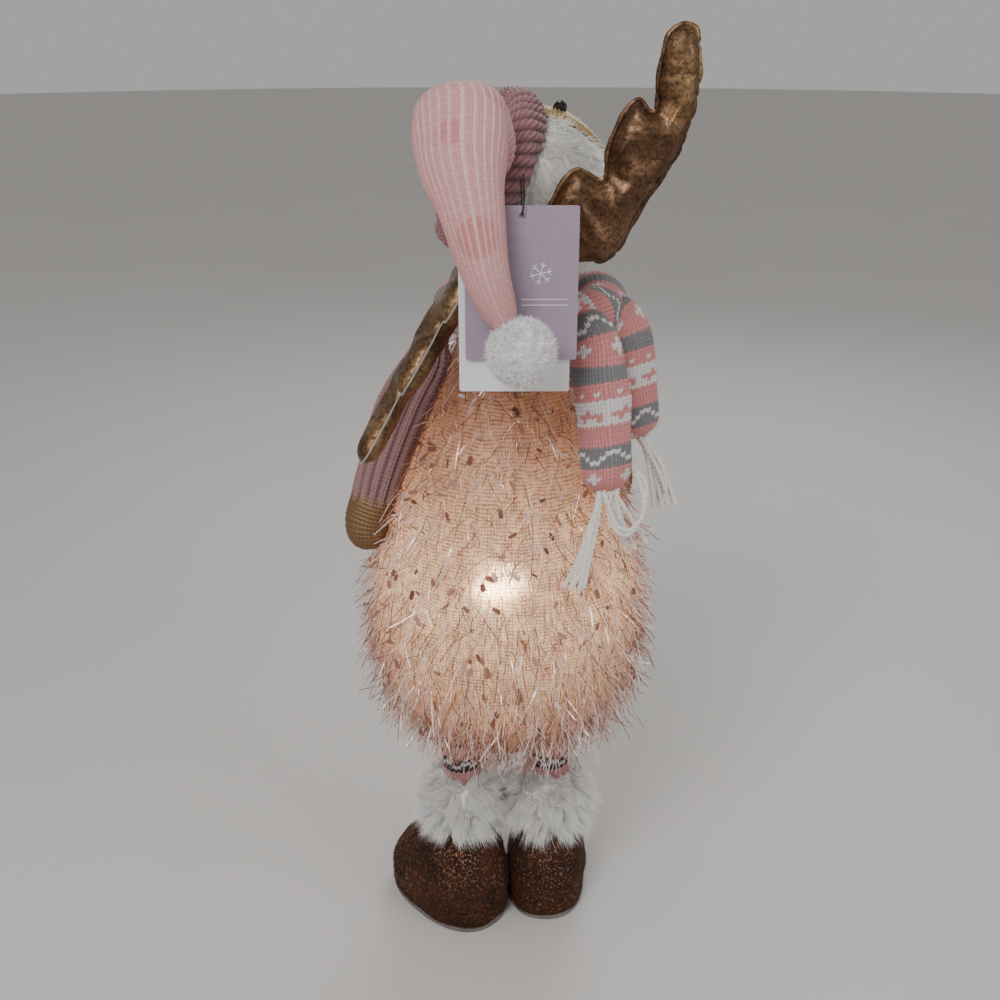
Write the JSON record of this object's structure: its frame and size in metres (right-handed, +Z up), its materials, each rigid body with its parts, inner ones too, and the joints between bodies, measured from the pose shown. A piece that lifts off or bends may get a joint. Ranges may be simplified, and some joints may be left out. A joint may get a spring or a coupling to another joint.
{
  "type": "light up standing reindeer",
  "caption": "Standing plush reindeer with a glowing tinsel-yarn body, stuffed boots, knitted arms, cap and scarf, and posable head and antlers.",
  "frame": {"origin": "on the surface it stands on, under the middle of the whole object's outline", "axes": "+Z up; the figure faces +Y and its back is towards -Y; +X is the figure's right-hand side"},
  "size_m": [0.2114, 0.2226, 0.5987],
  "materials": {
    "sole": "matte",
    "boot": "matte",
    "steel": "satin",
    "leg_knit": "matte",
    "fur": "matte",
    "plastic": "satin",
    "knob": "satin",
    "cell": "satin",
    "lead": "matte",
    "lamp": "satin",
    "tinsel_fabric": "matte",
    "wadding": "matte",
    "wire": "satin",
    "gold_knit": "satin",
    "bead": "gloss",
    "cuff_knit": "matte",
    "cap_knit": "matte",
    "pompom": "matte",
    "antler_foil": "satin",
    "mauve_card": "satin",
    "white_card": "satin",
    "string": "matte",
    "arm_knit": "matte",
    "hoof_knit": "matte",
    "scarf_knit": "matte",
    "yarn": "matte"
  },
  "bodies": {
    "stand": {"sole_left": "sole", "sole_right": "sole", "boot_left": "boot", "boot_right": "boot", "foot_plate_left": "steel", "foot_plate_right": "steel", "leg_rod_left": "steel", "leg_rod_right": "steel", "leg_sleeve_left": "leg_knit", "leg_sleeve_right": "leg_knit", "fur_cuff_left": "fur", "fur_cuff_right": "fur", "base_plate": "plastic", "battery_case": "plastic", "battery_cell_1": "cell", "battery_cell_2": "cell", "contact_strip_back": "steel", "contact_strip_front": "steel", "switch_body": "plastic", "led_stem": "plastic", "led_lead": "lead", "led_holder": "plastic", "led_lamp": "lamp", "body_cover": "tinsel_fabric", "liner": "wadding", "frame_rib_1": "wire", "frame_rib_2": "wire", "frame_rib_3": "wire", "frame_rib_4": "wire", "frame_hoop_low": "wire", "frame_hoop_middle": "wire", "frame_hoop_high": "wire", "neck_plate": "plastic", "scarf_wrap": "scarf_knit"},
    "neck": {"neck_core": "fur"},
    "head": {"head": "fur", "face_knit": "gold_knit", "nose": "bead", "eye_left": "bead", "eye_right": "bead", "hat_cuff": "cuff_knit", "hat_crown": "cap_knit"},
    "hat_tail": {"hat_tail": "cap_knit", "pompom": "pompom"},
    "tags": {"swing_tag": "mauve_card", "back_tag": "white_card", "tag_string": "string"},
    "antler_right": {"antler_right": "antler_foil"},
    "antler_left": {"antler_left": "antler_foil"},
    "arm_left": {"arm_left": "arm_knit", "hoof_left": "hoof_knit"},
    "arm_right": {"arm_right": "arm_knit", "hoof_right": "hoof_knit"},
    "scarf_end_1": {"scarf_tail_1": "scarf_knit", "tassel_1": "yarn"},
    "scarf_end_2": {"scarf_tail_2": "scarf_knit", "tassel_2": "yarn"},
    "battery_door": {"battery_door": "plastic", "door_screw": "steel"},
    "switch_knob": {"switch_knob": "knob"}
  },
  "joints": [
    {"name": "neck_turn", "type": "hinge", "parent": "stand", "child": "neck", "pos_m": [0, 0.025, 0.44], "axis": [0, 0, 1], "range_deg": [-8, 8]},
    {"name": "head_nod", "type": "hinge", "parent": "neck", "child": "head", "pos_m": [0, 0.025, 0.468], "axis": [-1, 0, 0], "range_deg": [0, 12]},
    {"name": "hat_tail_swing", "type": "hinge", "parent": "head", "child": "hat_tail", "pos_m": [-0.0292, -0.052, 0.551], "axis": [-1, 0, 0], "range_deg": [0, 40]},
    {"name": "tag_swing", "type": "hinge", "parent": "head", "child": "tags", "pos_m": [0.0012, -0.0375, 0.524], "axis": [0, 1, 0], "range_deg": [-8, 0.5]},
    {"name": "antler_right_sway", "type": "hinge", "parent": "head", "child": "antler_right", "pos_m": [0.0164, -0.031, 0.4783], "axis": [0, 1, 0], "range_deg": [-8, 30]},
    {"name": "antler_left_sway", "type": "hinge", "parent": "head", "child": "antler_left", "pos_m": [-0.0145, -0.037, 0.4925], "axis": [0, 1, 0], "range_deg": [0, 45]},
    {"name": "arm_left_lift", "type": "hinge", "parent": "stand", "child": "arm_left", "pos_m": [-0.05296, 0.01416, 0.41], "axis": [-0.225, 0.9744, 0], "range_deg": [0, 55]},
    {"name": "arm_right_lift", "type": "hinge", "parent": "stand", "child": "arm_right", "pos_m": [0.03299, 0.05333, 0.41], "axis": [0.5878, -0.809, 0], "range_deg": [0, 55]},
    {"name": "scarf_1_swing", "type": "hinge", "parent": "stand", "child": "scarf_end_1", "pos_m": [0.044, -0.028, 0.4262], "axis": [-0.7121, -0.7021, 0], "range_deg": [0, 50]},
    {"name": "scarf_2_swing", "type": "hinge", "parent": "stand", "child": "scarf_end_2", "pos_m": [0.066, 0.01, 0.4262], "axis": [-0.2, -0.9798, 0], "range_deg": [0, 50]},
    {"name": "switch_slide", "type": "slide", "parent": "stand", "child": "switch_knob", "axis": [1, 0, 0], "range_m": [0, 0.0045]},
    {"name": "door_lift", "type": "slide", "parent": "stand", "child": "battery_door", "axis": [0, 0, -1], "range_m": [0, 0.025]}
  ]
}
